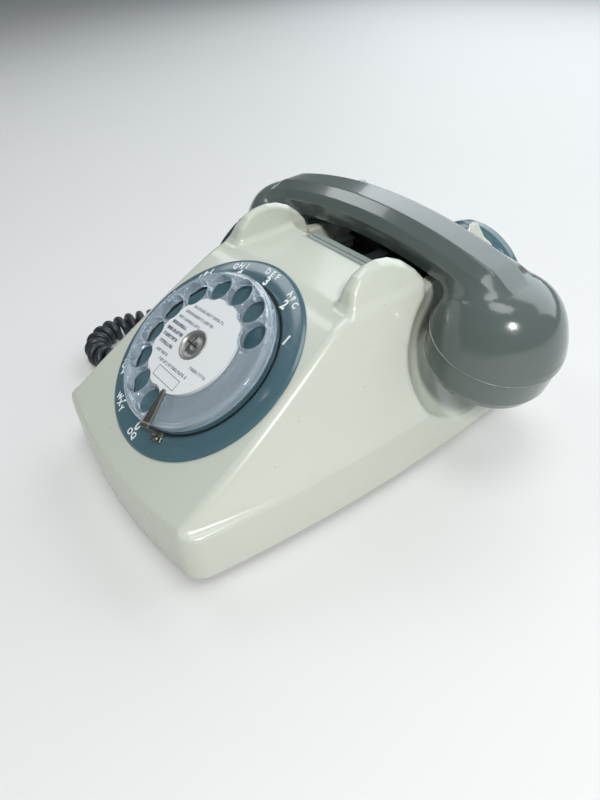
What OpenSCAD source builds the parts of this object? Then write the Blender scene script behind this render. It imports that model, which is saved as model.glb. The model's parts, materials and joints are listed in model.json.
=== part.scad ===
// Rotary desk telephone with a corded handset and a second earpiece.
// X runs along the handset, -Y is the dial side, Z is up. Millimetres.
// The origin is under the middle of the telephone, on the surface it stands on.

/* [Body] */
// Half of the widest part of the body
body_half_w = 77; // [75:1:79]
// Distance from the origin to the front edge of the body
front_y = 121; // [120:1:122]
// Distance from the origin to the back edge of the body
back_y = 108; // [107:1:109]
// Height of the upright rim around the body
rim_h = 33; // [31:1:34]
// Height of the flat top in front of the cradle
top_h = 90; // [89:1:91]
// Wall thickness of the moulded shell
wall = 3; // [2.5:0.1:3.2]

/* [Dial] */
// Slope of the dial face, in degrees
dial_tilt = 30.3; // [30:0.1:31]
// Height of the centre of the dial face
dial_h = 64.4; // [64:0.1:65]
// Radius of the number ring
ring_r = 55.5; // [54:0.5:56]
// Radius of the finger wheel
wheel_r = 42.5; // [41:0.5:43]
// Diameter of a finger hole
finger_hole_d = 14; // [13:0.5:14.5]
// Radius of the circle of finger holes
hole_circle_r = 33.1; // [32:0.1:34]

/* [Handset] */
// Distance from the middle of the handset to the middle of each cup
cup_x = 81.4; // [81:0.2:83]
// Outer radius of a cup
cup_r = 32.2; // [31.8:0.1:32.5]
// Height of the seam between cup and cap
seam_h = 64.5; // [64:0.1:66]
// Inward tilt of each cap, in degrees
cup_tilt = 14.3; // [14:0.1:15]
// Height of the top of the handle
handle_top = 110; // [109:0.5:111]

/* [Earpiece] */
// Radius of the second earpiece
ear_r = 30.5; // [30:0.1:31]
// Height of its middle
ear_h = 52.7; // [52:0.1:54]

/* [Cord] */
// Diameter of the handset lead
lead_d = 5; // [4.5:0.1:5]
// Outer diameter of the curly cord
curl_d = 16; // [15:0.5:16]

/* [Hidden] */
$fn = 48;

eps = 0.01;
foot_h = 4;                       // feet hold the shell clear of the table
shell_z = 3.5;                    // lower edge of the shell
dial_y = -59.5;                   // middle of the dial face
cradle_y = 54;                    // middle plane of the handset
hole_step = 360 / 14;             // ten holes take up ten of fourteen places
first_hole = 39;                  // angle of hole 1 from +X
stop_angle = -70;                 // angle of the finger stop
widest_y = 3;                     // where the body is widest
side_arc_r = 760;                 // radius of the long side curves at the table
crease_arc_r = 475;               // radius of the crease at the top of the rim
end_arc_r = 330;                  // radius of the front and back edges
corner_r = 9;                     // plan corner radius
front_half_w = 68;                // half width at the front corners
back_half_w = 70;
side_lean = 0.42;                 // how far the upper sides lean in, per mm of height
pocket_r = 50;                    // round hollow that a handset cup hangs in
pocket_at = [95, 53, 62];
fin_in = 41;                      // the cradle ears start this far from the middle
fin_out = 60;
ear_at = [20.7, 98, ear_h];        // middle of the second earpiece, on its phone side
ear_lean = 12;                    // it hangs parallel to the leaning back
wheel_low = 3.5;                  // finger wheel, heights above the dial face
wheel_top = 9.6;

ivory = [0.78, 0.79, 0.70];
blue_grey = [0.28, 0.36, 0.42];
dark_grey = [0.28, 0.31, 0.31];
steel = [0.70, 0.70, 0.70];
brass = [0.80, 0.65, 0.35];
black = [0.08, 0.08, 0.09];

// ---- body outline, seen from above, drawn inset by d
function side_x(y) = body_half_w - pow(y - widest_y, 2) / (2 * side_arc_r);
function end_dip(x) = x * x / (2 * end_arc_r);
function corner(cx, cy, a0, d) = [for (a = [0 : 15 : 90])
  [cx + (corner_r - d) * cos(a0 + a), cy + (corner_r - d) * sin(a0 + a)]];
function right_half(d) = let (
    fx = front_half_w - corner_r, fy = end_dip(fx) - front_y + corner_r,
    bx = back_half_w - corner_r, by = back_y - end_dip(bx) - corner_r)
  concat([for (x = [0 : 14 : 42]) [x, end_dip(x) - front_y + d]],
    corner(fx, fy, -90, d),
    [for (y = [-93 : 16 : 83]) [side_x(y) - d, y]],
    corner(bx, by, 0, d),
    [for (x = [42 : -14 : 0]) [x, back_y - end_dip(x) - d]]);
function mirrored(p) = [for (i = [len(p) - 2 : -1 : 1]) [-p[i][0], p[i][1]]];
module outline(d = 0) { polygon(concat(right_half(d), mirrored(right_half(d)))); }

// ---- body profile, seen from the side as [y, z], drawn inset by d
dial_top_y = dial_y + (top_h - dial_h) / tan(dial_tilt);
function face_z(y) = dial_h + (y - dial_y) * tan(dial_tilt);
function back_face_y(z) = ear_at[1] - 0.8 / cos(ear_lean) - (z - ear_at[2]) * tan(ear_lean);
function side_profile(d) = [[-front_y - 1, -5], [-front_y - 1, face_z(-front_y - 1) - d / cos(dial_tilt)],
   [dial_top_y + d * tan(dial_tilt / 2), top_h - d], [back_face_y(top_h) - d, top_h - d],
   [back_face_y(-5) - d, -5]];

// the upper sides are two large cones that lean inwards above the rim, inset by d
module leaning_block(d = 0) {
  intersection_for (s = [-1, 1])
    translate([s * (body_half_w - crease_arc_r), widest_y, rim_h - 150])
      union() {
        cylinder(r = crease_arc_r + 5, h = 147, $fn = 360);
        translate([0, 0, 150]) cylinder(r1 = crease_arc_r - d, r2 = crease_arc_r - d - 100 * side_lean,
          h = 100, $fn = 360);
        translate([0, 0, 146.9]) cylinder(r1 = crease_arc_r + 5, r2 = crease_arc_r - d, h = 3.11, $fn = 360);
      }
}

module block(d = 0) {
  intersection() {
    translate([0, 0, shell_z - d]) linear_extrude(height = 130) outline(d);
    rotate([90, 0, 90]) translate([0, 0, -100]) linear_extrude(height = 200) polygon(side_profile(d));
    leaning_block(d);
  }
}

// the channel across the body that the handle lies in, grown by d
function channel(d) = let (c = cradle_y)
  [[c - 28 - d, 95], [c - 28 - d, 86], [c - 20 - d, 84], [c - 17 - d, 62 - d], [c + 15 + d, 62 - d],
   [c + 17 + d, 84], [c + 19 + d, 95]];

// the saddle between the ears that the ends of the handle rest over, grown by d
function saddle(d) = [[33 - d, 100], [34.5 - d, 89], [37 - d, 83.4 - d], [70.3 + d, 83.4 - d],
   [70.3 + d, 89], [72 + d, 100]];

// cradle ears in profile: a tall one in front of the handle and a short one behind it
front_ear = [[-12, 80], [-10, 91], [-7, 98], [-2, 102.5], [4, 105], [11, 105.5],
  [18, 104], [25, 100.5], [32, 94.5], [36, 89], [56, 89], [56, 66], [30, 66]];
back_ear = [[54, 66], [54, 89], [68, 89], [71, 96], [74, 101.5], [78, 102.3], [80.5, 101], [84, 90],
  [88, 66]];

module ears() {
  intersection() {
    for (p = [front_ear, back_ear], s = [-1, 1]) rotate([90, 0, 90])
      translate([0, 0, s > 0 ? fin_in : -fin_out]) linear_extrude(height = fin_out - fin_in) polygon(p);
    leaning_block(0);
  }
}

lift_at = [78.6, 54, 62];         // upright clearance that a cup rises through
lift_r = 32.6;
module pockets(grow = 0) {
  for (s = [-1, 1]) {
    translate([s * pocket_at[0], pocket_at[1], pocket_at[2]]) sphere(r = pocket_r + grow, $fn = 96);
    translate([s * lift_at[0], lift_at[1], lift_at[2]]) cylinder(r = lift_r + grow, h = 60, $fn = 96);
  }
}

// frame of the dial face: Z is its outward normal
module on_dial(h = 0) {
  translate([0, dial_y, dial_h]) rotate([dial_tilt, 0, 0]) translate([0, 0, h]) children();
}
module at_dial_angle(a, r) { rotate([0, 0, a]) translate([r, 0, 0]) children(); }

module body_shell() {
  color(ivory) difference() {
    union() { block(0); ears(); }
    difference() {
      block(wall);
      pockets(wall);
      rotate([90, 0, 90]) translate([0, 0, -100]) linear_extrude(height = 200) polygon(channel(wall));
      rotate([90, 0, 90]) translate([0, 0, -100]) linear_extrude(height = 200) polygon(saddle(wall));
      on_dial(-8) cylinder(r = ring_r - 1, h = 7.99);
    }
    translate([0, 0, shell_z - 20]) linear_extrude(height = 20 + eps) outline(wall);
    rotate([90, 0, 90]) translate([0, 0, -fin_in + eps]) linear_extrude(height = 2 * fin_in - 2 * eps)
      polygon(channel(0));
    rotate([90, 0, 90]) translate([0, 0, -70]) linear_extrude(height = 140) polygon(saddle(0));
    pockets(0);
    on_dial(-20) cylinder(r = ring_r - 4, h = 30, $fn = 96);
    translate([-27, slot_y, 60]) cube([54, 9.7, 40]);
    translate([line_x, back_y - 16, gland_z]) rotate([-90, 0, 0]) cylinder(d = 9, h = 24);
    translate([-line_x, back_y - 16, gland_z]) rotate([-90, 0, 0]) cylinder(d = 9, h = 24);
    for (s = [-1, 1]) translate([s * line_x, 90, gland_z]) rotate([-90, 0, 0]) cylinder(d = 10.9, h = 13.2);
    for (x = [-6, 6]) hanger_frame() translate([x, 0, -12]) cylinder(d = 3.4, h = 20);
  }
}

module cradle_tray() {
  color(black) rotate([90, 0, 90]) translate([0, 0, -40.6]) linear_extrude(height = 81.2)
    polygon([[34.3, 83.6], [37.15, 62.15], [68.85, 62.15], [70.7, 83.6], [69.9, 83.6],
      [68.1, 62.95], [37.9, 62.95], [35.1, 83.6]]);
}

// ---- base
foot_spots = [[-57.8, -105.4], [57.8, -105.4], [-52, 88], [52, 88]];
plate_z = 5;
module base_plate() {
  color(black) difference() {
    translate([0, 0, plate_z]) linear_extrude(height = 1.5) outline(wall + 0.9);
    for (p = foot_spots) translate([p[0], p[1], 0]) cylinder(d = 4, h = 20);
    for (s = [-1, 1]) translate([s * 30, gong_y - 30, 0]) cylinder(d = 14, h = 20);
    for (p = [[-45, 70], [45, -80]]) translate([p[0], p[1], 0]) cylinder(d = 3, h = 20);
  }
}
module rubber_feet() {
  color(black) for (p = foot_spots) translate([p[0], p[1], 0]) {
    cylinder(r1 = 6.5, r2 = 7, h = 1.5);
    translate([0, 0, 1.5]) cylinder(r = 7, h = plate_z - 1.5);
    translate([0, 0, plate_z - eps]) cylinder(d = 3.9, h = 1.6);
  }
}
module base_screws() {
  color(steel) for (p = [[-45, 70], [45, -80]]) translate([p[0], p[1], 0]) {
    difference() {
      translate([0, 0, 3]) cylinder(d = 6.5, h = plate_z - 3);
      translate([-3, -0.5, 2.9]) cube([6, 1, 1.1]);
    }
    translate([0, 0, plate_z - eps]) cylinder(d = 2.9, h = 9);
  }
}

// ---- dial, fixed parts
module number_ring() {
  color(blue_grey) on_dial(0) difference() {
    rotate_extrude($fn = 96) polygon([[9, -4], [ring_r - 4.3, -4], [ring_r - 4.3, 0.05],
      [ring_r, 0.05], [ring_r, 0.6], [ring_r - 1.4, 1.6], [44, 1.6], [43.5, 0.6], [9, 0.6]]);
    translate([0, 0, -10]) cylinder(r = 6.5, h = 20);
  }
}
module finger_stop() {
  color(steel) on_dial(0) rotate([0, 0, stop_angle]) {
    translate([43.4, -3.5, 1.6]) cube([6, 7, 1.2]);
    translate([43.4, -3.2, 1.6]) cube([1.2, 6.4, 10.7]);
    translate([0, 0, 11.2]) linear_extrude(height = 1.2)
      polygon([[44.6, -3.2], [44.6, 3.2], [33, 2.4], [26, 1.4], [25, 0], [26, -1.4], [33, -2.4]]);
    translate([46.8, 0, 2.8]) cylinder(d = 3.2, h = 0.9);
  }
}
module dial_frame() {
  color(steel) on_dial(0) difference() {
    union() {
      translate([0, 0, -6]) cylinder(r = 47, h = 1.8);
      translate([0, 0, -16.9]) cylinder(r = 5.5, h = 11);
      for (a = [30, 150, 270]) rotate([0, 0, a]) translate([34, -3, -24]) cube([4, 6, 18.1]);
      translate([0, 0, -24]) cylinder(r = 39, h = 1.6);
    }
    translate([0, 0, -30]) cylinder(r = 3.05, h = 30);
    translate([pinion_r_sum, 0, -30]) cylinder(r = 1.55, h = 30);
  }
}
module pulse_contacts() {
  color(brass) on_dial(0) translate([-33, -5, -21.5]) for (i = [0 : 2])
    translate([0, i * 3.4, 0]) cube([12, 0.5, 9]);
  color(black) on_dial(0) translate([-36, -7, -22.35]) cube([4, 12, 9]);
}

// ---- dial, turning parts
pinion_r_sum = 26.4;
module finger_wheel() {
  color([0.8, 0.9, 0.95, 0.5]) on_dial(0) difference() {
    rotate_extrude($fn = 96) polygon([[6, 5.2], [24, 5.2], [39.5, 5.2], [39.5, wheel_low], [42, wheel_low],
      [wheel_r, 4.2], [wheel_r, 8.6], [41.3, wheel_top], [39.8, wheel_top], [38.8, 8.8],
      [26.6, 8.8], [26.6, 7.6], [6, 7.6]]);
    for (i = [0 : 9]) at_dial_angle(first_hole + i * hole_step, hole_circle_r)
      cylinder(d = finger_hole_d, h = 20);
  }
}
module number_card() {
  color("white") on_dial(0) difference() {
    translate([0, 0, 7.65]) cylinder(r = 26.2, h = 2);
    translate([0, 0, 7]) cylinder(r = 8.2, h = 4);
    for (i = [0 : 9]) at_dial_angle(first_hole + i * hole_step, hole_circle_r)
      cylinder(d = finger_hole_d + 2, h = 20);
  }
}
module hub_cap() {
  color(steel) on_dial(0) difference() {
    translate([0, 0, 7.65]) cylinder(r = 8.1, h = 2.4);
    translate([0, 0, 8.6]) cylinder(r = 7.2, h = 4);
    translate([-5, -0.5, 8.1]) cube([10, 1, 2]);
  }
}
module dial_spindle() {
  color(steel) on_dial(0) {
    translate([0, 0, -26]) cylinder(r = 3, h = 33);
    translate([0, 0, -1.6]) cylinder(r = 5.9, h = 6.7);
  }
}
module main_gear() {
  color(brass) on_dial(-19) difference() {
    union() {
      cylinder(r = 19, h = 1.5);
      for (i = [0 : 35]) rotate([0, 0, i * 10]) translate([18.5, -0.7, 0]) cube([1.6, 1.4, 1.5]);
    }
    translate([0, 0, -1]) cylinder(r = 3, h = 4);
    for (i = [0 : 3]) rotate([0, 0, 90 * i + 45]) translate([12, 0, -1]) cylinder(r = 3.2, h = 4);
  }
}
module pulse_pinion() {
  color(brass) on_dial(0) translate([pinion_r_sum, 0, 0]) {
    translate([0, 0, -25.4]) cylinder(r = 1.5, h = 21);
    translate([0, 0, -19]) {
      cylinder(r = 4.6, h = 1.5);
      for (i = [0 : 9]) rotate([0, 0, i * 36 + 18]) translate([4.4, -0.6, 0]) cube([1.3, 1.2, 1.5]);
    }
    translate([-5.5, -0.8, -13]) cube([11, 1.6, 3]);
  }
}

// ---- ringer
gong_z = 22;
gong_y = 6;
module gong(x, r, h) {
  translate([x, gong_y, gong_z]) rotate_extrude($fn = 64)
    polygon([[1.9, h - 1.4], [r * 0.55, h - 1.8], [r * 0.9, h * 0.55], [r - 1.2, 0], [r, 0],
      [r * 0.97, h * 0.6], [r * 0.6, h - 0.2], [1.9, h]]);
}
module high_gong() { color(steel) gong(-29, 19, 13); }
module low_gong() { color(steel) gong(29, 20, 14); }
module gong_posts() {
  color(brass) for (s = [[-29, 13], [29, 14]]) translate([s[0], gong_y, plate_z + 1.5]) {
    cylinder(d = 8, h = gong_z + s[1] - 1.6 - plate_z - 1.5);
    cylinder(d = 3.7, h = gong_z + s[1] + 1 - plate_z - 1.5);
    translate([0, 0, gong_z + s[1] - plate_z - 1.4]) cylinder(d = 7, h = 2);
  }
}
ringer_y = 30;
module ringer_frame() {
  color(steel) translate([0, ringer_y, plate_z + 1.5]) {
    translate([-22, -8, 0]) cube([44, 18, 1.5]);
    translate([-22, 6, 1.5 - eps]) cube([44, 2, 30]);
    for (x = [-16, 16]) translate([x - 4, -7, 27]) cube([8, 13.1, 3]);
    for (x = [-16, 16]) translate([x, -1, 1.4]) cylinder(d = 5, h = 25.7);
  }
}
module ringer_coils() {
  color([0.55, 0.25, 0.15]) for (x = [-16, 16]) translate([x, ringer_y - 1, plate_z + 4]) difference() {
    union() {
      cylinder(d = 13, h = 22);
      cylinder(d = 13.8, h = 1.5);
      translate([0, 0, 20.5]) cylinder(d = 13.8, h = 1.5);
    }
    translate([0, 0, -1]) cylinder(d = 5.1, h = 30);
  }
}
module ringer_clapper() {
  color(steel) {
    translate([0, ringer_y - 3.5, 12]) cylinder(d = 2, h = 15);
    translate([-9, ringer_y - 4.4, 18]) cube([18, 1.8, 5]);
    translate([0, ringer_y - 3.5, 26]) rotate([90, 0, 0]) cylinder(d = 1.4, h = 20);
    translate([0, 7, 26]) sphere(d = 6);
  }
}

// ---- electrics
module circuit_board() {
  color([0.55, 0.42, 0.22]) difference() {
    translate([-42, 62, 9]) cube([84, 32, 1.6]);
    for (x = [-40, 40], y = [66, 90]) translate([x, y, 5]) cylinder(d = 3, h = 8);
  }
  color([0.55, 0.42, 0.22]) for (x = [-40, 40], y = [66, 90])
    translate([x, y, 6.5]) cylinder(d = 5, h = 2.52);
}
module terminal_block() {
  color(black) difference() {
    translate([-30, 78, 10.7]) cube([60, 10, 8]);
    for (i = [0 : 6]) translate([-25 + i * 8.3, 83, 14]) cylinder(d = 3.6, h = 8);
  }
}
module line_capacitor() {
  color([0.75, 0.73, 0.62]) translate([-34, 66, 15.8]) rotate([0, 90, 0]) cylinder(d = 9, h = 26);
}
module induction_coil() {
  color([0.35, 0.3, 0.28]) translate([6, 63.5, 10.7]) { cube([26, 12, 3]);
    translate([3, 1, 3 - eps]) cube([20, 10, 10]); }
}

// ---- hook switch
module hook_guide() {
  color(black) difference() {
    translate([-9, 16, plate_z + 1.5]) cube([18, 3, 42]);
    translate([-6.5, 15, 20]) cube([13, 5, 12]);
  }
}
module hook_contacts() {
  color(brass) for (i = [0 : 3]) translate([-5 + i * 3, 13.2, 39]) cube([0.5, 2.7, 16]);
  color(black) translate([-8, 11.9, 34]) cube([15, 4, 6]);
}
slot_y = 22.3;                    // front of the slot that the hook bar works in
module hook_bar() {
  color([0.62, 0.68, 0.70]) {
    difference() {
      translate([-26.6, slot_y + 0.3, 85.4]) cube([53.2, 9.2, 3.2]);
      translate([-28, slot_y + 4.4, 88]) cube([56, 0.8, 2]);
    }
    for (s = [-1, 1]) translate([s * 13 - 3, slot_y + 9.4, 85.6]) cube([6, 18, 2]);
    translate([-4, slot_y + 2.3, 48]) cube([8, 4, 38]);
  }
}

// ---- glands
line_x = 40;
gland_z = 14;
module gland(x) {
  translate([x, back_y - 6.5, gland_z]) rotate([-90, 0, 0]) difference() {
    union() {
      cylinder(d = 8.9, h = 12);
      cylinder(d = 10.6, h = 1.6);
      translate([0, 0, 6.4]) cylinder(d = 12, h = 5.6);
    }
    translate([0, 0, -1]) cylinder(d = lead_d + 0.5, h = 20);
  }
}
module line_cord_gland() { color(black) gland(line_x); }
module handset_cord_gland() { color(black) gland(-line_x); }

// ---- handset
module at_cup(s) {
  translate([s * cup_x, cradle_y, seam_h]) rotate([0, s * cup_tilt, 0]) children();
}
cup_upright = 8;                  // the dome of a cup stands this much straighter than its cap
// handle: one section turned about a far axis below, so that it arches over the body
handle_arc_r = 310;
handle_span = 15.9;               // half the angle it covers
handle_half = [[7, 0], [12.5, -4], [15, -8.5], [12.5, -18], [8, -21.5]];  // [half width, drop from the top]
module handle_block() {
  translate([0, cradle_y, handle_top - handle_arc_r]) rotate([90, 0, 0]) rotate([0, 0, 90 - handle_span])
    rotate_extrude(angle = 2 * handle_span, $fn = 360)
      polygon(concat([for (p = handle_half) [handle_arc_r + p[1], p[0]]],
        [for (i = [len(handle_half) - 1 : -1 : 0]) [handle_arc_r + handle_half[i][1], -handle_half[i][0]]]));
}
module cup_outside() {
  intersection() {
    cylinder(r = 60, h = 60);
    rotate([0, -cup_upright, 0]) rotate_extrude($fn = 96) polygon([[0, -6], [cup_r, -6], [cup_r, 0],
      [cup_r - 1.2, 6], [cup_r - 2.7, 11], [cup_r - 4.7, 16], [cup_r - 7.6, 20.8], [cup_r - 11.6, 25],
      [cup_r - 17, 28], [cup_r - 24, 29.3], [0, 29.6]]);
  }
}
module handset_shell() {
  color(dark_grey) difference() {
    union() {
      handle_block();
      for (s = [-1, 1]) at_cup(s) mirror([s > 0 ? 0 : 1, 0, 0]) cup_outside();
    }
    for (s = [-1, 1]) at_cup(s) {
      translate([0, 0, -1]) cylinder(r = cup_r - 3.5, h = 9, $fn = 96);
      translate([-1, 0, 7]) cylinder(r = 19, h = 12);
    }
    translate([-78, cradle_y, 97]) rotate([0, 90, 0]) cylinder(d = 8, h = 156);
    boot_frame() translate([0, 0, -8]) cylinder(d = 6.1, h = 20);
  }
}
module cap_ring() {
  difference() {
    rotate_extrude($fn = 96) polygon([[0, -20.6], [26.5, -20.6], [29.6, -18.6], [cup_r - 0.9, -14],
      [cup_r - 0.4, -0.3], [cup_r - 3.8, -0.3], [cup_r - 3.8, 5], [cup_r - 6, 5], [0, 5]]);
    translate([0, 0, -17.6]) cylinder(r = cup_r - 6, h = 30, $fn = 96);
    cylinder(d = 4, h = 60, center = true);
    for (i = [0 : 5]) rotate([0, 0, 60 * i]) translate([9, 0, 0]) cylinder(d = 3.4, h = 60, center = true);
    for (i = [0 : 11]) rotate([0, 0, 30 * i + 15]) translate([17, 0, 0])
      cylinder(d = 2.6, h = 60, center = true);
  }
}
module mouth_cap() { color(dark_grey) at_cup(-1) cap_ring(); }
module ear_cap() { color(dark_grey) at_cup(1) cap_ring(); }
module capsule() {
  translate([0, 0, -16.6]) cylinder(r = 25.6, h = 11);
  translate([0, 0, -5.7]) cylinder(r = 18, h = 9);
}
module microphone_capsule() { color(steel) at_cup(-1) capsule(); }
module receiver_capsule() { color([0.75, 0.7, 0.5]) at_cup(1) capsule(); }

// cord boot: leaves the outer side of the mouth cup, forwards and down
boot_at = [-107, 44, 69];
module boot_frame() { translate(boot_at) rotate([0, -115, 35]) children(); }
module handset_cord_boot() {
  color(black) boot_frame() difference() {
    union() {
      translate([0, 0, -2]) cylinder(d = 6, h = 10);
      translate([0, 0, 7.9]) cylinder(d1 = 8.6, d2 = 6.6, h = 7.1);
    }
    translate([0, 0, 1]) cylinder(d = lead_d, h = 16);
  }
}

// ---- second earpiece, hung on the back
module earpiece_frame() { translate(ear_at) rotate([ear_lean - 90, 0, 0]) children(); }
module hanger_frame() { earpiece_frame() translate([0, -12, -0.8]) children(); }
module earpiece_shell() {
  color(blue_grey) difference() {
    earpiece_frame() rotate_extrude($fn = 96) polygon([[0, 0.6], [25, 0.6], [28.5, 3], [ear_r, 7],
      [ear_r, 10], [0, 10]]);
    earpiece_frame() translate([0, 0, 3.6]) cylinder(r = ear_r - 3, h = 30, $fn = 96);
    hanger_frame() cylinder(d = 8.8, h = 6);
  }
}
module earpiece_cap() {
  color(blue_grey) earpiece_frame() difference() {
    rotate_extrude($fn = 96) polygon([[0, 12], [ear_r - 3.3, 12], [ear_r - 3.3, 10.1], [ear_r - 0.2, 10.1],
      [ear_r - 0.2, 13], [29, 17], [25, 19.7], [0, 19.7]]);
    translate([0, 0, 7]) cylinder(r = ear_r - 6, h = 9.5, $fn = 96);
    cylinder(d = 4, h = 60);
    for (i = [0 : 7]) rotate([0, 0, 45 * i]) translate([12, 0, 0]) cylinder(d = 3, h = 60);
  }
}
module earpiece_capsule() {
  color([0.75, 0.7, 0.5]) earpiece_frame() translate([0, 0, 4]) cylinder(r = 23, h = 10);
}
module earpiece_hanger() {
  color(ivory) hanger_frame() {
    translate([0, 0, -0.2]) cylinder(d = 18, h = 1.1);
    cylinder(d = 8, h = 4);
    for (x = [-6, 6]) translate([x, 0, -8]) cylinder(d = 3.2, h = 8);
  }
}

// ---- cord: swept tubes along hand-set routes
function unit(v) = v / norm(v);
function along(p, i) = unit(p[min(i + 1, len(p) - 1)] - p[max(i - 1, 0)]);
function side_of(t) = abs(t[2]) > 0.95 ? unit(cross(t, [0, 1, 0])) : unit(cross(t, [0, 0, 1]));
function ring_at(c, t, r, n) = let (u = side_of(t), v = cross(t, u))
  [for (k = [0 : n - 1]) c + r * cos(360 * k / n) * u + r * sin(360 * k / n) * v];
// points on a smooth curve through p, k between each pair
function curve_at(a, b, c, d, t) = b + t * (c - a) / 2 + t * t * (2 * a - 5 * b + 4 * c - d) / 2
  + t * t * t * (3 * b - a - 3 * c + d) / 2;
function smooth(p, k) = let (m = len(p) - 1)
  concat([for (i = [0 : m - 1], j = [0 : k - 1])
    curve_at(p[max(i - 1, 0)], p[i], p[i + 1], p[min(i + 2, m)], j / k)], [p[m]]);
module tube(route, r, n, k) {
  p = smooth(route, k);
  m = len(p);
  points = [for (i = [0 : m - 1], q = ring_at(p[i], along(p, i), r, n)) q];
  sides = [for (i = [0 : m - 2], k = [0 : n - 1]) let (a = i * n, b = (k + 1) % n)
    [a + k, a + b, a + n + b, a + n + k]];
  polyhedron(points, concat([[for (k = [n - 1 : -1 : 0]) k]], sides,
    [[for (k = [0 : n - 1]) (m - 1) * n + k]]), convexity = 6);
}
lead_route = [[-118.5, 36, 62.45], [-120, 32.6, 60], [-120, 24, 54], [-120, 17, 47], [-120, 10, 38],
  [-120, 4, 28], [-121, -3, 19], [-123, -10, 12], [-125.4, -16.5, 9.5]];
curl_route = [[-126, -18, 8.1], [-131, -26, 8.1], [-137, -35, 8.1], [-142, -45, 8.1], [-144, -56, 8.1],
  [-143, -66, 8.1], [-137, -75, 8.1], [-127, -80, 8.1], [-117, -79, 8.1], [-108, -73, 8.1],
  [-102, -64, 8.1], [-98, -53, 8.1], [-95, -41, 8.1], [-93, -27, 8.1], [-92, -11, 8.1],
  [-92, 7, 8.1], [-92, 25, 8.1], [-91, 43, 8.1], [-90, 61, 8.1], [-87, 78, 8.1], [-81, 94, 8.1],
  [-72, 108, 8.1], [-61, 117, 8.1], [-52, 121, 9]];
gland_route = [[-50.9, 121.1, 9.2], [-46, 121.5, 10], [-41.6, 118.6, 12.4], [-40, 113, 14], [-40, 104, 14]];
module handset_lead() { color(black) tube(lead_route, lead_d / 2, 10, 3); }
module curly_cord() { color(black) tube(curl_route, curl_d / 2, 12, 3); }
module gland_lead() { color(black) tube(gland_route, lead_d / 2, 10, 5); }

body_shell();
base_plate();
rubber_feet();
base_screws();
number_ring();
finger_stop();
dial_frame();
pulse_contacts();
high_gong();
low_gong();
gong_posts();
ringer_frame();
ringer_coils();
circuit_board();
terminal_block();
line_capacitor();
induction_coil();
hook_contacts();
hook_guide();
cradle_tray();
line_cord_gland();
handset_cord_gland();
earpiece_hanger();
finger_wheel();
number_card();
hub_cap();
dial_spindle();
main_gear();
pulse_pinion();
hook_bar();
ringer_clapper();
handset_shell();
mouth_cap();
ear_cap();
microphone_capsule();
receiver_capsule();
handset_cord_boot();
earpiece_shell();
earpiece_cap();
earpiece_capsule();
handset_lead();
curly_cord();
gland_lead();
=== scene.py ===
import json
import math
import bmesh
import bpy
import numpy as np
from mathutils import Matrix, Quaternion, Vector


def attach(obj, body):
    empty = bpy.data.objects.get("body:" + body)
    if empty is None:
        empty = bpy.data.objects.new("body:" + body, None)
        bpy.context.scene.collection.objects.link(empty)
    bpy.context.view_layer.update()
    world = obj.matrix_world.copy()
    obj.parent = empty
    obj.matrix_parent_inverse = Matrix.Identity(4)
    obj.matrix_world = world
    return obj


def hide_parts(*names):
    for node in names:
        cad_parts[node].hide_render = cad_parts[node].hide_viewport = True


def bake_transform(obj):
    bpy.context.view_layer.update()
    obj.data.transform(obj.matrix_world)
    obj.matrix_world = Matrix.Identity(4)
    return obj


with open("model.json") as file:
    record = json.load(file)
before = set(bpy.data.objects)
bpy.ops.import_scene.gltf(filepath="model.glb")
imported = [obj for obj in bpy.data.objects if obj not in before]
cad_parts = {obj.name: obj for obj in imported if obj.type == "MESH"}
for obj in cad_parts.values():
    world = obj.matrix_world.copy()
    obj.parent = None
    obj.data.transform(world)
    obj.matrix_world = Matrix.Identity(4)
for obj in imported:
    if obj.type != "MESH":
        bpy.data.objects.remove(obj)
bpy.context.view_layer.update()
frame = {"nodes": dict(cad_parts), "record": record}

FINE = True
MM = 0.001

# ---------------------------------------------------------------- sizes, in millimetres
TILT = math.radians(30.3)                    # dial face
DIAL = np.array([0.0, -59.5, 64.4])
CRADLE_Y = 54.0
CUP = np.array([81.4, 54.0, 64.5])           # middle of the right-hand seam
CUP_TILT = math.radians(14.3)
CUP_R = 32.2
UPRIGHT = math.radians(8.0)                  # the dome stands this much straighter than its cap
HANDLE_TOP = 110.0
HANDLE_R = 310.0
EAR_AT = np.array([20.7, 98.0, 52.7])        # second earpiece
EAR_LEAN = math.radians(12.0)
EAR_R = 30.5
FIRST = 39.0                                 # first finger hole, degrees
STEP = 360 / 14
HOLE_CIRCLE_R = 33.1
HOLE_R = 7.0

# ---------------------------------------------------------------- camera
cam_data = bpy.data.cameras.new("camera")
cam = bpy.data.objects.new("camera", cam_data)
bpy.context.scene.collection.objects.link(cam)
cam.matrix_world = Matrix.Translation((0.22701, -0.155097, 0.234465)) @ Quaternion(
    (0.8160647, 0.36145873, 0.21805536, 0.39476303)).to_matrix().to_4x4()
cam_data.sensor_fit = "VERTICAL"
cam_data.sensor_height = 36
cam_data.lens = 27.513
cam_data.clip_start = 0.01
cam_data.clip_end = 50
bpy.context.scene.camera = cam


# ---------------------------------------------------------------- materials
DUST_COLOR = (0.62, 0.64, 0.60, 1)
SPECK_COLOR = (0.16, 0.15, 0.12, 1)
DUST_SCALE = 900
SPECK_SCALE = 110
SMEAR_SCALE = 28
BUMP_DISTANCE = 0.001


def tree_of(name):
    """A new material with its node tree, its shader node and its object coordinates."""
    m = bpy.data.materials.new(name)
    m.use_nodes = True
    nt = m.node_tree
    return m, nt, nt.nodes["Principled BSDF"], nt.nodes.new("ShaderNodeTexCoord").outputs["Object"]


def texture(nt, kind, vector, **values):
    n = nt.nodes.new("ShaderNodeTex" + kind)
    for key, value in values.items():
        n.inputs[key].default_value = value
    nt.links.new(vector, n.inputs["Vector"])
    return n


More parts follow.
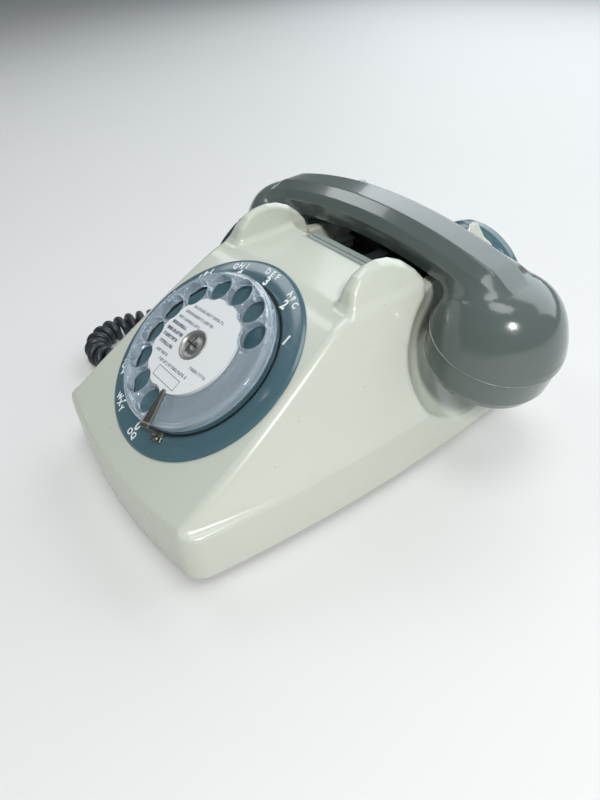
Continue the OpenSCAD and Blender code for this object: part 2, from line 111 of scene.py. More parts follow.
def map_range(nt, value, from_min, from_max, to_min, to_max):
    n = nt.nodes.new("ShaderNodeMapRange")
    for key, number in zip(("From Min", "From Max", "To Min", "To Max"), (from_min, from_max, to_min, to_max)):
        n.inputs[key].default_value = number
    nt.links.new(value, n.inputs["Value"])
    return n.outputs["Result"]


def over(nt, share, below, color):
    """The colour below, covered by another colour where share is high."""
    n = nt.nodes.new("ShaderNodeMix")
    n.data_type = "RGBA"
    n.inputs[7].default_value = color
    nt.links.new(share, n.inputs[0])
    nt.links.new(below, n.inputs[6])
    return n.outputs[2]


def arithmetic(nt, operation, first, second=None, third=None):
    """A math node. Each operand is a socket or a number."""
    n = nt.nodes.new("ShaderNodeMath")
    n.operation = operation
    for i, operand in enumerate((first, second, third)):
        if isinstance(operand, float):
            n.inputs[i].default_value = operand
        elif operand is not None:
            nt.links.new(operand, n.inputs[i])
    return n.outputs[0]


def add_bump(nt, shader, height, strength):
    n = nt.nodes.new("ShaderNodeBump")
    n.inputs["Strength"].default_value = strength
    n.inputs["Distance"].default_value = BUMP_DISTANCE
    nt.links.new(height, n.inputs["Height"])
    nt.links.new(n.outputs["Normal"], shader.inputs["Normal"])


def material(name, color, rough, variation=0.05, scale=60.0, bump=0.02, bump_scale=400.0, metal=0.0,
             coat=0.0, scratch=0.0, dust=0.0, rough_var=0.06, speck=0.0):
    m, nt, shader, where = tree_of(name)
    shader.inputs["Metallic"].default_value = metal
    shader.inputs["Coat Weight"].default_value = coat
    shader.inputs["Coat Roughness"].default_value = 0.06
    # slow colour drift
    drift = texture(nt, "Noise", where, Scale=scale, Detail=6, Roughness=0.6)
    ramp = nt.nodes.new("ShaderNodeValToRGB")
    dark, light = ramp.color_ramp.elements
    dark.position, light.position = 0.15, 0.85
    dark.color = (*[c * (1 - variation) for c in color], 1)
    light.color = (*[min(1, c * (1 + variation)) for c in color], 1)
    nt.links.new(drift.outputs["Fac"], ramp.inputs["Fac"])
    shade = ramp.outputs["Color"]
    if dust:
        grains = texture(nt, "Noise", where, Scale=DUST_SCALE, Detail=3)
        shade = over(nt, map_range(nt, grains.outputs["Fac"], 0.70, 0.80, 0.0, dust), shade, DUST_COLOR)
    if speck:
        spots = texture(nt, "Voronoi", where, Scale=SPECK_SCALE)
        shade = over(nt, map_range(nt, spots.outputs["Distance"], 0.02, 0.07, speck, 0.0), shade, SPECK_COLOR)
    nt.links.new(shade, shader.inputs["Base Color"])
    # smears, then long fine scratches where a noise passes through its middle value
    smear = texture(nt, "Noise", where, Scale=SMEAR_SCALE, Detail=8)
    roughness = map_range(nt, smear.outputs["Fac"], 0.1, 0.9, max(0.02, rough - rough_var),
                          min(1.0, rough + rough_var))
    lines = None
    if scratch:
        stretch = nt.nodes.new("ShaderNodeMapping")
        stretch.inputs["Scale"].default_value = (1.0, 9.0, 1.0)
        stretch.inputs["Rotation"].default_value = (0.5, 0.3, 0.8)
        nt.links.new(where, stretch.inputs["Vector"])
        wave = texture(nt, "Noise", stretch.outputs["Vector"], Scale=14, Detail=1, Distortion=0.3)
        middle = arithmetic(nt, "ABSOLUTE", arithmetic(nt, "SUBTRACT", wave.outputs["Fac"], 0.5))
        lines = map_range(nt, middle, 0.0, 0.0016, scratch, 0.0)
        roughness = arithmetic(nt, "ADD", roughness, lines)
    nt.links.new(roughness, shader.inputs["Roughness"])
    if bump:
        height = texture(nt, "Noise", where, Scale=bump_scale, Detail=4).outputs["Fac"]
        if lines is not None:
            height = arithmetic(nt, "MULTIPLY_ADD", lines, -0.8, height)
        add_bump(nt, shader, height, bump)
    return m


def clear_plastic(name):
    m, nt, shader, where = tree_of(name)
    shader.inputs["Base Color"].default_value = (0.80, 0.91, 1.0, 1)
    shader.inputs["Transmission Weight"].default_value = 0.74
    shader.inputs["IOR"].default_value = 1.40
    shader.inputs["Coat Weight"].default_value = 0.6
    smear = texture(nt, "Noise", where, Scale=60, Detail=6)
    nt.links.new(map_range(nt, smear.outputs["Fac"], 0.35, 0.75, 0.01, 0.10), shader.inputs["Roughness"])
    add_bump(nt, shader, texture(nt, "Noise", where, Scale=220).outputs["Fac"], 0.012)
    return m


MAT = {
    "ivory_plastic": material("ivory_plastic", (0.60, 0.635, 0.555), 0.25, 0.03, 14, 0.02, 900, coat=0.25,
                              rough_var=0.03, speck=0.30),
    "handset_plastic": material("handset_plastic", (0.104, 0.133, 0.126), 0.19, 0.12, 20, 0.03, 900, coat=0.5,
                                dust=0.10),
    "seam": material("seam", (0.34, 0.38, 0.37), 0.22, 0.25, 200, 0.02, 900, coat=0.4),
    "blue_plastic": material("blue_plastic", (0.068, 0.137, 0.166), 0.20, 0.06, 24, 0.03, 900, coat=0.3,
                             scratch=0.15, dust=0.10),
    "hook_plastic": material("hook_plastic", (0.34, 0.40, 0.38), 0.33, 0.06, 40, 0.05, 700,
                             scratch=0.2, dust=0.12),
    "card": material("card", (0.80, 0.83, 0.84), 0.42, 0.03, 30, 0.04, 1500, dust=0.05, coat=0.3),
    "card_ink": material("card_ink", (0.05, 0.07, 0.14), 0.5, 0.15, 300, 0.0),
    "label_ink": material("label_ink", (0.80, 0.84, 0.86), 0.4, 0.05, 200, 0.0),
    "hub_metal": material("hub_metal", (0.36, 0.36, 0.35), 0.42, 0.10, 90, 0.06, 1200, metal=0.9, scratch=0.2),
    "finger_stop_metal": material("finger_stop_metal", (0.30, 0.30, 0.25), 0.30, 0.18, 120, 0.15, 500, metal=1.0,
                                  scratch=0.3, speck=0.5),
    "steel": material("steel", (0.55, 0.55, 0.54), 0.35, 0.08, 90, 0.05, 900, metal=1.0, scratch=0.2),
    "black_steel": material("black_steel", (0.02, 0.02, 0.022), 0.45, 0.2, 60, 0.12, 900, dust=0.10),
    "gong_metal": material("gong_metal", (0.66, 0.62, 0.55), 0.2, 0.08, 60, 0.03, 600, metal=1.0, scratch=0.2),
    "brass": material("brass", (0.70, 0.50, 0.22), 0.3, 0.12, 90, 0.05, 900, metal=1.0, scratch=0.2),
    "capsule_metal": material("capsule_metal", (0.60, 0.60, 0.56), 0.38, 0.06, 70, 0.05, 700, metal=1.0),
    "black_plastic": material("black_plastic", (0.018, 0.02, 0.022), 0.36, 0.2, 60, 0.08, 700, dust=0.12),
    "coil_winding": material("coil_winding", (0.33, 0.11, 0.05), 0.35, 0.25, 300, 0.3, 1800),
    "capacitor_case": material("capacitor_case", (0.48, 0.45, 0.30), 0.4, 0.1, 80, 0.06, 700),
    "board": material("board", (0.36, 0.22, 0.09), 0.45, 0.15, 150, 0.12, 1500),
    "rubber": material("rubber", (0.014, 0.014, 0.015), 0.72, 0.25, 120, 0.25, 1500, dust=0.15, rough_var=0.1),
    "cord": material("cord", (0.020, 0.026, 0.032), 0.38, 0.25, 90, 0.10, 1200, dust=0.14),
    "clear_wheel": clear_plastic("clear_wheel"),
}


for entry in frame["record"]["subparts"]:
    node = frame["nodes"][entry["node"]]
    for s in node.material_slots:
        s.material = MAT[entry["material_slot"]]
    if not node.material_slots:
        node.data.materials.append(MAT[entry["material_slot"]])


def finish_piece(obj, body, slot_name, nodes=(), mat=None):
    obj.data.materials.clear()
    obj.data.materials.append(MAT[mat or slot_name])
    if nodes:
        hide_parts(*nodes)
    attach(obj, body)
    return obj


def new_mesh(name, verts, faces, smooth=True):
    me = bpy.data.meshes.new(name)
    me.from_pydata([tuple(v) for v in np.asarray(verts, float)], [], [tuple(f) for f in faces])
    me.validate()
    me.update()
    if smooth:
        me.polygons.foreach_set("use_smooth", [True] * len(me.polygons))
    o = bpy.data.objects.new(name, me)
    bpy.context.scene.collection.objects.link(o)
    return o


# ---------------------------------------------------------------- cord: lead, coil and gland end in one piece
LEAD = [(-118.5, 36, 62.45), (-120, 32.6, 60), (-120, 24, 54), (-120, 17, 47), (-120, 10, 38), (-120, 4, 28),
        (-121, -3, 19), (-123, -10, 12)]
COIL = [(-126, -18, 8.1), (-131, -26, 8.1), (-137, -35, 8.1), (-142, -45, 8.1), (-144, -56, 8.1),
        (-143, -66, 8.1), (-137, -75, 8.1), (-127, -80, 8.1), (-117, -79, 8.1), (-108, -73, 8.1),
        (-102, -64, 8.1), (-98, -53, 8.1), (-95, -41, 8.1), (-93, -27, 8.1), (-92, -11, 8.1), (-92, 7, 8.1),
        (-92, 25, 8.1), (-91, 43, 8.1), (-90, 61, 8.1), (-87, 78, 8.1), (-81, 94, 8.1), (-72, 108, 8.1),
        (-61, 117, 8.1)]
GLAND = [(-52, 121, 9), (-46, 121.5, 10), (-41.6, 118.6, 12.4), (-40, 113, 14), (-40, 104, 14)]
WIRE_D = 5.0
COIL_R = 5.45
PITCH = 7.1


def smooth_curve(points, per_span):
    """Points on a Catmull-Rom curve through the given ones, so many to each span."""
    p = np.array(points, float)
    q = np.vstack([2 * p[0] - p[1], p, 2 * p[-1] - p[-2]])
    out = []
    for i in range(1, len(q) - 2):
        a, b, c, d = q[i - 1], q[i], q[i + 1], q[i + 2]
        for t in np.linspace(0, 1, per_span, endpoint=False):
            out.append(b + t * (c - a) / 2 + t * t * (2 * a - 5 * b + 4 * c - d) / 2
                       + t ** 3 * (3 * b - a - 3 * c + d) / 2)
    return np.array(out + [p[-1]])


def spline(points, step):
    """Evenly spaced points on a smooth curve, and the length at each."""
    out = smooth_curve(points, 40)
    s = np.concatenate([[0], np.cumsum(np.linalg.norm(np.diff(out, axis=0), axis=1))])
    n = int(s[-1] / step) + 1
    u = np.linspace(0, s[-1], n)
    return np.stack([np.interp(u, s, out[:, k]) for k in range(3)], 1), u


def frames_along(p):
    t = np.gradient(p, axis=0)
    t /= np.linalg.norm(t, axis=1)[:, None]
    u = np.zeros_like(p)
    ref = np.array([0, 0, 1.0]) if abs(t[0, 2]) < 0.9 else np.array([0, 1.0, 0])
    u[0] = np.cross(t[0], ref)
    u[0] /= np.linalg.norm(u[0])
    for i in range(1, len(p)):
        w = u[i - 1] - t[i] * np.dot(u[i - 1], t[i])
        u[i] = w / np.linalg.norm(w)
    return t, u, np.cross(t, u)


def tube(name, p, r, sides):
    t, u, v = frames_along(p)
    r = np.broadcast_to(np.asarray(r, float), (len(p),))
    a = np.linspace(0, 2 * np.pi, sides, endpoint=False)
    ring = (u[:, None] * np.cos(a)[None, :, None] + v[:, None] * np.sin(a)[None, :, None]) * r[:, None, None]
    verts = (p[:, None] + ring).reshape(-1, 3)
    faces = []
    for i in range(len(p) - 1):
        for k in range(sides):
            b = (k + 1) % sides
            faces.append((i * sides + k, i * sides + b, (i + 1) * sides + b, (i + 1) * sides + k))
    faces.append(tuple(range(sides - 1, -1, -1)))
    faces.append(tuple((len(p) - 1) * sides + k for k in range(sides)))
    return new_mesh(name, verts * MM, faces)


route, along = spline(LEAD + COIL + GLAND, 0.25)
near = lambda q: along[np.argmin(np.linalg.norm(route - np.array(q), axis=1))]
c0, c1 = near(COIL[0]) + 1.0, near(COIL[-1]) - 1.0
ramp = 14.0
rise = np.clip((along - c0) / ramp, 0, 1) * np.clip((c1 - along) / ramp, 0, 1)
rise = rise * rise * (3 - 2 * rise)
turns = np.clip(along - c0, 0, c1 - c0) / PITCH
_, cu, cv = frames_along(route)
ang = 2 * np.pi * turns
helix = route + COIL_R * rise[:, None] * (cu * np.cos(ang)[:, None] + cv * np.sin(ang)[:, None])
seg = np.concatenate([[0], np.cumsum(np.linalg.norm(np.diff(helix, axis=0), axis=1))])
n_cord = int(seg[-1] / (1.5 if FINE else 2.2))
u_cord = np.linspace(0, seg[-1], n_cord)
wire = np.stack([np.interp(u_cord, seg, helix[:, k]) for k in range(3)], 1)
cord = tube("handset_cord", wire, WIRE_D / 2, 14 if FINE else 8)
cord.data.materials.append(MAT["cord"])
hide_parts("handset_lead", "curly_cord", "gland_lead")
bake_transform(cord)


# ---------------------------------------------------------------- implicit shapes meshed on a grid
def rmax(a, b, r):
    """Intersection of two solids with a round of radius r on the edge between them."""
    u, v = np.maximum(a + r, 0), np.maximum(b + r, 0)
    return np.minimum(-r, np.maximum(a, b)) + np.sqrt(u * u + v * v)


def rmin(a, b, r):
    """Union of two solids with a fillet of radius r."""
    return -rmax(-a, -b, r)


def mirrored(p):
    return list(p) + [(-a, b) for a, b in list(p)[::-1]]


def poly(px, py, points, r=0.0):
    """Signed distance to a polygon whose corners are rounded by r, keeping its straight sides."""
    p = np.array(points, float)
    if r:
        p = inset(p, r)
    d = np.full(np.broadcast(px, py).shape, 1e9)
    inside = np.zeros(d.shape, bool)
    for i in range(len(p)):
        a, b = p[i], p[i - 1]
        e = b - a
        wx, wy = px - a[0], py - a[1]
        t = np.clip((wx * e[0] + wy * e[1]) / (e @ e), 0, 1)
        d = np.minimum(d, (wx - e[0] * t) ** 2 + (wy - e[1] * t) ** 2)
        crosses = (a[1] > py) != (b[1] > py)
        with np.errstate(divide="ignore", invalid="ignore"):
            cut = px < (b[0] - a[0]) * (py - a[1]) / (b[1] - a[1] + 1e-30) + a[0]
        inside ^= crosses & cut
    return np.sqrt(d) * np.where(inside, -1, 1) - r


def inset(p, r):
    area = 0.5 * np.sum(p[:, 0] * np.roll(p[:, 1], -1) - np.roll(p[:, 0], -1) * p[:, 1])
    q = p if area > 0 else p[::-1]
    out = []
    n = len(q)
    for i in range(n):
        a, b, c = q[i - 1], q[i], q[(i + 1) % n]
        e1, e2 = (b - a) / np.linalg.norm(b - a), (c - b) / np.linalg.norm(c - b)
        n1, n2 = np.array([-e1[1], e1[0]]), np.array([-e2[1], e2[0]])
        k = n1 + n2
        out.append(b + k * (r / max(0.25, 1 + n1 @ n2)))
    return np.array(out)


def nets(f, lo, hi, h):
    """Quads of the zero surface of f inside a box, with each point put exactly on the surface."""
    lo, hi = np.array(lo, float), np.array(hi, float)
    n = np.ceil((hi - lo) / h).astype(int) + 1
    ax = [lo[k] + h * np.arange(n[k]) for k in range(3)]
    F = np.empty(tuple(n), np.float32)
    for i0 in range(0, n[0], 24):
        X = ax[0][i0:i0 + 24][:, None, None]
        F[i0:i0 + 24] = f(X, ax[1][None, :, None], ax[2][None, None, :])
    S = F < 0
    cells = tuple(n - 1)
    total = np.zeros(cells + (3,), np.float32)
    count = np.zeros(cells, np.float32)
    quads = []
    for k in range(3):
        sl0 = [slice(None)] * 3
        sl1 = [slice(None)] * 3
        sl0[k], sl1[k] = slice(0, -1), slice(1, None)
        a, b = F[tuple(sl0)], F[tuple(sl1)]
        cross = S[tuple(sl0)] != S[tuple(sl1)]
        idx = np.argwhere(cross)
        t = a[cross] / (a[cross] - b[cross])
        pos = idx.astype(np.float32)
        pos[:, k] += t
        flip = S[tuple(sl0)][cross]
        i, j = (k + 1) % 3, (k + 2) % 3
        ok = np.ones(len(idx), bool)
        around = []
        for di, dj in ((0, 0), (-1, 0), (-1, -1), (0, -1)):
            c = idx.copy()
            c[:, i] += di
            c[:, j] += dj
            inside = np.all((c >= 0) & (c < np.array(cells)), axis=1)
            ok &= inside
            around.append(c)
            cc = c[inside]
            np.add.at(total, (cc[:, 0], cc[:, 1], cc[:, 2]), pos[inside])
            np.add.at(count, (cc[:, 0], cc[:, 1], cc[:, 2]), 1)
        q = np.stack([np.ravel_multi_index(tuple(np.clip(c, 0, np.array(cells) - 1).T), cells)
                      for c in around], 1)[ok]
        fl = flip[ok]
        q[~fl] = q[~fl][:, ::-1]
        quads.append(q)
    quads = np.vstack(quads)
    used, inv = np.unique(quads, return_inverse=True)
    quads = inv.reshape(quads.shape)
    v = total.reshape(-1, 3)[used] / count.reshape(-1)[used][:, None]
    v = (lo + v.astype(float) * h)
    e = 0.02 * h

    def at(p):
        return f(p[:, 0], p[:, 1], p[:, 2])

    def grad(p):
        g = np.stack([(at(p + d) - at(p - d)) / (2 * e) for d in np.eye(3) * e], 1)
        return g, np.maximum((g * g).sum(1), 0.05)

    for _ in range(3):
        g, g2 = grad(v)
        step = at(v)[:, None] * g / g2[:, None]
        length = np.linalg.norm(step, axis=1)[:, None]
        v = v - step * np.minimum(1, 0.5 * h / np.maximum(length, 1e-9))
    g, _ = grad(v)
    g /= np.maximum(np.linalg.norm(g, axis=1)[:, None], 1e-9)
    return v, quads, g


def implicit(name, f, lo, hi, h, place=None):
    v, q, g = nets(f, lo, hi, h)
    if place is not None:
        m = np.array(place)
        v = v @ m[:3, :3].T + m[:3, 3]
        g = g @ m[:3, :3].T
    me = bpy.data.meshes.new(name)
    me.vertices.add(len(v))
    me.vertices.foreach_set("co", (v * MM).ravel())
    me.loops.add(q.size)
    me.loops.foreach_set("vertex_index", q.ravel())
    me.polygons.add(len(q))
    me.polygons.foreach_set("loop_start", np.arange(0, q.size, 4))
    me.polygons.foreach_set("use_smooth", np.ones(len(q), bool))
    me.update(calc_edges=True)
    me.validate()
    me.normals_split_custom_set_from_vertices([tuple(x) for x in g])
    o = bpy.data.objects.new(name, me)
    bpy.context.scene.collection.objects.link(o)
    return o


DIAL_M = Matrix.Translation(Vector(DIAL)) @ Matrix.Rotation(TILT, 4, "X")


# ---------------------------------------------------------------- body shell
FRONT_EAR = [(-13, 78), (-10.5, 91), (-7, 98), (-2, 102.8), (4, 105.3), (11, 105.8), (18, 104.3), (25, 100.8),
             (31.5, 95), (36, 88), (44, 80), (44, 70), (20, 66)]
BACK_EAR = [(60, 70), (68, 86), (70.6, 96), (73.6, 101.8), (77.5, 102.6), (80.6, 101), (85, 90), (86, 72)]
SADDLE = [(33, 112), (34.5, 89), (37, 83.2), (70.3, 83.2), (70.3, 89), (72, 112)]
CHANNEL = [(26, 110), (26, 86), (34, 84), (37, 62), (69, 62), (71, 84), (73, 110)]


SIDE_ARC = (-683, 3, 760)                    # middle x, middle y and radius of each wall seen from above
FRONT_ARC = (209, 330)                       # middle y and radius
BACK_ARC = (-222, 330)
FLARE_ARC = (-398, 3, 475)                   # the side wall above the rim leans in along a cone
FLARE = 0.42                                 # how far it leans in per millimetre of height
FLARE_COS = 0.922
RIM_Z = 33
LEDGE_Z = 32.3
LEDGE_SLOPE = 0.45
LEDGE_COS = 0.912
TOP_Z = 90
WALL = 3.0
EAR_X = 41                                   # inner face of the ears
POCKET = (95, 53, 62, 50)                    # middle and radius of the round hollow for a cup
SHAFT = (78.6, 54, 32.6)                     # way up for the cup: middle x, middle y, radius
DIAL_WELL_R = 51.5
SLOT = (27, 27.15, 4.85)                     # hook slot: half width, middle y, half depth
CORD_HOLES = (40, 14, 4.5, 92)               # cord holes: x, z, radius, and where they start in y
BOTTOM_Z = 3.5


def back_y(z):
    return EAR_AT[1] - 0.8 / math.cos(EAR_LEAN) - (z - EAR_AT[2]) * math.tan(EAR_LEAN)


def flared_wall(ax, y, z):
    rho = np.hypot(ax - FLARE_ARC[0], y - FLARE_ARC[1])
    return (rho - (FLARE_ARC[2] - FLARE * (z - RIM_Z))) * FLARE_COS


def body_block(ax, y, z, d, r):
    """The shell's outside without ears and hollows, inset by d; r scales its rounds."""
    side = np.hypot(ax - SIDE_ARC[0], y - SIDE_ARC[1]) - SIDE_ARC[2] + d
    front = np.hypot(ax, y - FRONT_ARC[0]) - FRONT_ARC[1] + d
    rear = np.hypot(ax, y - BACK_ARC[0]) - BACK_ARC[1] + d
    plan = rmax(rmax(side, front, max(1, 7.5 - d)), rear, max(1, 8 - d))
    rho = np.hypot(ax - FLARE_ARC[0], y - FLARE_ARC[1])
    ledge = (z - LEDGE_Z + LEDGE_SLOPE * (rho - FLARE_ARC[2])) * LEDGE_COS + d
    upper = rmin(flared_wall(ax, y, z) + d, ledge, 1.0 * r)
    face = (z - DIAL[2] - (y - DIAL[1]) * math.tan(TILT)) * math.cos(TILT) + d
    top = z - TOP_Z + d
    back = (y - back_y(z)) * math.cos(EAR_LEAN) + d
    cap = rmax(face, top, 4)
    cap = rmax(cap, back, 5 * r)
    return rmax(rmax(plan, upper, 1.5 * r), cap, 3.0 * r)


def body_f(x, y, z):
    ax = np.abs(x)
    out = body_block(ax, y, z, 0, 1)
    ear_width = rmax(EAR_X - ax, flared_wall(ax, y, z), 0.1)
    ears = rmax(poly(y, z, FRONT_EAR, 1.5), ear_width, 3.0)
    rear = rmax(poly(y, z, BACK_EAR, 1.0), ear_width, 2.2)
    out = rmin(out, ears, 3.6)
    out = rmin(out, rear, 3.0)
    saddle = poly(y, z, SADDLE, 0.0)
    out = rmax(out, -saddle, 1.6)
    channel = poly(y, z, CHANNEL, 0.0)
    gap = rmax(channel, ax - EAR_X, 0.3)
    out = rmax(out, -gap, 1.1)
    ball = np.sqrt((ax - POCKET[0]) ** 2 + (y - POCKET[1]) ** 2 + (z - POCKET[2]) ** 2) - POCKET[3]
    shaft = np.maximum(np.hypot(ax - SHAFT[0], y - SHAFT[1]) - SHAFT[2], POCKET[2] - z)
    pocket = rmin(ball, shaft, 1.0)
    out = rmax(out, -pocket, 2.0)
    # hollow inside
    inner = body_block(ax, y, z, WALL, 0.5)
    for cut in (channel, pocket, saddle):
        inner = rmax(inner, -(cut - WALL), 0.5)
    inner = np.maximum(inner, BOTTOM_Z - 1.0 - z)
    out = rmax(out, -inner, 0.4)
    # openings: dial, hook slot and the two cord holes
    up_face = (y - DIAL[1]) * math.cos(TILT) + (z - DIAL[2]) * math.sin(TILT)
    off_face = -(y - DIAL[1]) * math.sin(TILT) + (z - DIAL[2]) * math.cos(TILT)
    out = rmax(out, -np.maximum(np.hypot(x, up_face) - DIAL_WELL_R, np.abs(off_face) - 20), 0.5)
    out = rmax(out, -np.maximum(np.maximum(ax - SLOT[0], np.abs(y - SLOT[1]) - SLOT[2]), 60 - z), 0.5)
    out = rmax(out, -np.maximum(np.hypot(ax - CORD_HOLES[0], z - CORD_HOLES[1]) - CORD_HOLES[2],
                                 CORD_HOLES[3] - y), 0.3)
    return rmax(out, BOTTOM_Z - z, 0.9)


H_BODY = 1.0 if FINE else 1.7
body = implicit("body_visual", body_f, (-80, -124, 1), (80, 112, 110), H_BODY)
finish_piece(body, "base", "ivory_plastic", ["body_shell"])


# ---------------------------------------------------------------- handset
SECTION = mirrored([(7, -0.04), (12.5, -4), (15, -8.5), (12.5, -18), (8, -21.5)])
DOME = [(CUP_R, 0), (CUP_R - 1.2, 6), (CUP_R - 2.7, 11), (CUP_R - 4.7, 16), (CUP_R - 7.6, 20.8), (CUP_R - 11.6, 25),
        (CUP_R - 17, 28), (CUP_R - 24, 29.3), (0, 29.6)]
DOME = [(CUP_R, -6)] + [tuple(v) for v in smooth_curve(DOME, 5)]


def cup_axes(ax, y, z, lean):
    c, s = math.cos(lean), math.sin(lean)
    dx, dz = ax - CUP[0], z - CUP[2]
    along = dx * s + dz * c
    across = dx * c - dz * s
    return np.hypot(across, y - CRADLE_Y), along


def handset_f(x, y, z):
    ax = np.abs(x)
    rho = np.hypot(x, z - (HANDLE_TOP - HANDLE_R))
    handle = poly(y - CRADLE_Y, rho - HANDLE_R, SECTION, 1.6)
    end = math.radians(16.6)
    stop = ax * math.cos(end) - (z - HANDLE_TOP + HANDLE_R) * math.sin(end)
    handle = rmax(handle, stop, 12.0)
    r1, s1 = cup_axes(ax, y, z, CUP_TILT - UPRIGHT)
    dome = poly(r1, s1, [(-a, b) for a, b in DOME[-2::-1]] + DOME[:-1])
    r2, s2 = cup_axes(ax, y, z, CUP_TILT)
    out = rmin(handle, dome, 6.0)
    out = rmax(out, -s2, 0.5)
    hollow = np.minimum(np.maximum(r2 - (CUP_R - 3.5), s2 - 8), np.maximum(r1 - 19, s1 - 19))
    return rmax(out, -hollow, 0.4)


H_HAND = 0.85 if FINE else 1.5
handset = implicit("handset_visual", handset_f, (-118, 18, 48), (118, 90, 114), H_HAND)
finish_piece(handset, "handset", "handset_plastic", ["handset_shell"])

def hole_ring(x, y, count, at, radius, turn=0.0):
    """Distance to the nearest of a ring of round holes."""
    r = np.hypot(x, y)
    pitch = 2 * np.pi / count
    a = (np.arctan2(y, x) - turn + pitch / 2) % pitch - pitch / 2
    return np.hypot(r * np.cos(a) - at, r * np.sin(a)) - radius


CAP = [(CUP_R - 0.4, -0.3), (CUP_R - 0.9, -14), (29.6, -18.6), (26.5, -20.6)]
CAP_OUT = mirrored(CAP)


def cap_f(x, y, z):
    r = np.hypot(x, y)
    out = poly(r, z, CAP_OUT, 0.8)
    sleeve = np.maximum(np.maximum(r - (CUP_R - 3.8), np.abs(z - 1.5) - 3.5), 26.2 - r)
    out = np.minimum(out, sleeve)
    out = rmax(out, -np.maximum(r - 26.2, -17.6 - z), 0.4)
    holes = r - 2.0
    holes = np.minimum(holes, hole_ring(x, y, 6, 9, 1.7))
    holes = np.minimum(holes, hole_ring(x, y, 12, 17, 1.3, math.radians(15)))
    return rmax(out, -holes, 0.35)


def cup_place(side):
    """The middle of a cup's seam, on the -X or +X side."""
    return Matrix.Translation((side * CUP[0], CUP[1], CUP[2])) @ Matrix.Rotation(side * CUP_TILT, 4, "Y")


H_CAP = 0.6 if FINE else 1.1
for name, side in (("mouth_cap", -1), ("ear_cap", 1)):
    cap = implicit(name + "_visual", cap_f, (-34, -34, -22), (34, 34, 6.5), H_CAP, cup_place(side))
    finish_piece(cap, "handset", "handset_plastic", [name])


# ---------------------------------------------------------------- dial
def wheel_f(x, y, z):
    r = np.hypot(x, y)
    disc = poly(r, z, [(6, 5.2), (39.4, 5.2), (39.4, 3.6), (42.4, 3.6), (42.5, 8.6), (41.4, 9.6), (39.7, 9.6),
                       (38.2, 8.0), (34, 7.3), (30, 7.5), (28.4, 8.6), (26.9, 8.8), (26.6, 7.6), (6, 7.6)], 0.3)
    a = np.arctan2(y, x) - math.radians(FIRST)
    p = math.radians(STEP)
    k = np.clip(np.round((a % (2 * np.pi)) / p), 0, 13)
    k = np.where(k > 9, np.where(k > 11, 0, 9), k)
    hx = x - HOLE_CIRCLE_R * np.cos(math.radians(FIRST) + k * p)
    hy = y - HOLE_CIRCLE_R * np.sin(math.radians(FIRST) + k * p)
    hr = np.hypot(hx, hy)
    rim = rmax(rmax(hr - 7.95, z - 9.3, 0.8), 5.2 - z, 0.4)
    out = rmin(disc, rim, 0.8)
    return rmax(out, -(hr - HOLE_R), 0.7)


H_WHEEL = 0.42 if FINE else 0.8
wheel = implicit("finger_wheel_visual", wheel_f, (-44, -44, 2.6), (44, 44, 10.6), H_WHEEL, DIAL_M)
finish_piece(wheel, "dial", "clear_wheel", ["finger_wheel"])


def lathe(name, profile, place, sides=128):
    a = np.linspace(0, 2 * np.pi, sides, endpoint=False)
    p = np.array(profile, float)
    closed = p[0, 0] > 1e-6
    verts = np.stack([p[:, None, 0] * np.cos(a), p[:, None, 0] * np.sin(a),
                      np.repeat(p[:, None, 1], sides, 1)], -1).reshape(-1, 3)
    faces = []
    m = len(p)
    for i in range(m if closed else m - 1):
        for k in range(sides):
            b = (k + 1) % sides
            j = (i + 1) % m
            faces.append((i * sides + k, i * sides + b, j * sides + b, j * sides + k))
    v = np.array([place @ Vector(q) for q in verts])
    o = new_mesh(name, v * MM, faces)
    bm = bmesh.new()
    bm.from_mesh(o.data)
    bmesh.ops.remove_doubles(bm, verts=bm.verts, dist=1e-7)
    bmesh.ops.recalc_face_normals(bm, faces=bm.faces)
    bm.to_mesh(o.data)
    bm.free()
    o.data.polygons.foreach_set("use_smooth", [True] * len(o.data.polygons))
    return o


def sharpen(o, width):
    b = o.modifiers.new("edges", "BEVEL")
    b.width = width * MM
    b.segments = 3
    b.limit_method = "ANGLE"
    b.angle_limit = math.radians(30)
    b.harden_normals = True


# painted shadow: a thin black ring under the wheel's outer edge stands in for the shadow in the gap between wheel and
# number ring
gap = lathe("wheel_painted_shadow", [(42.0, 0.62), (43.2, 0.62), (43.4, 0.70), (43.6, 1.0), (43.3, 0.85), (42.0, 0.74)],
            DIAL_M, 192)
finish_piece(gap, "base", None, mat="black_plastic")
ring = lathe("number_ring_visual", [(9, -4), (51.2, -4), (51.2, 0.06), (55.3, 0.06), (55.5, 0.25), (55.5, 0.6),
                                    (54.2, 1.5), (53.6, 1.6), (44.3, 1.6), (43.9, 1.45), (43.6, 0.7), (43.2, 0.6),
                                    (9, 0.6)], DIAL_M, 192)
sharpen(ring, 0.12)
finish_piece(ring, "base", "blue_plastic", ["number_ring"])

# pale line on the rim where cup and cap meet: a painted highlight along the seam
SEAM = [(CUP_R - 1.2, -0.28), (CUP_R - 0.25, -0.28), (CUP_R - 0.02, -0.18), (CUP_R - 0.02, 0.02), (CUP_R - 0.2, 0.10),
        (CUP_R - 1.2, 0.02)]
for name, side in (("mouth_seam", -1), ("ear_seam", 1)):
    seam = lathe(name, SEAM, cup_place(side), 160)
    finish_piece(seam, "handset", None, mat="seam")


STROKE_GROW = 0.040                          # thickens each character, per millimetre of size
NARROW = 0.92


def dial_piece(name, verts, faces):
    """A flat-shaded piece whose points are given in the dial's own frame."""
    return new_mesh(name, np.array([DIAL_M @ Vector(q) for q in verts]) * MM, faces, smooth=False)


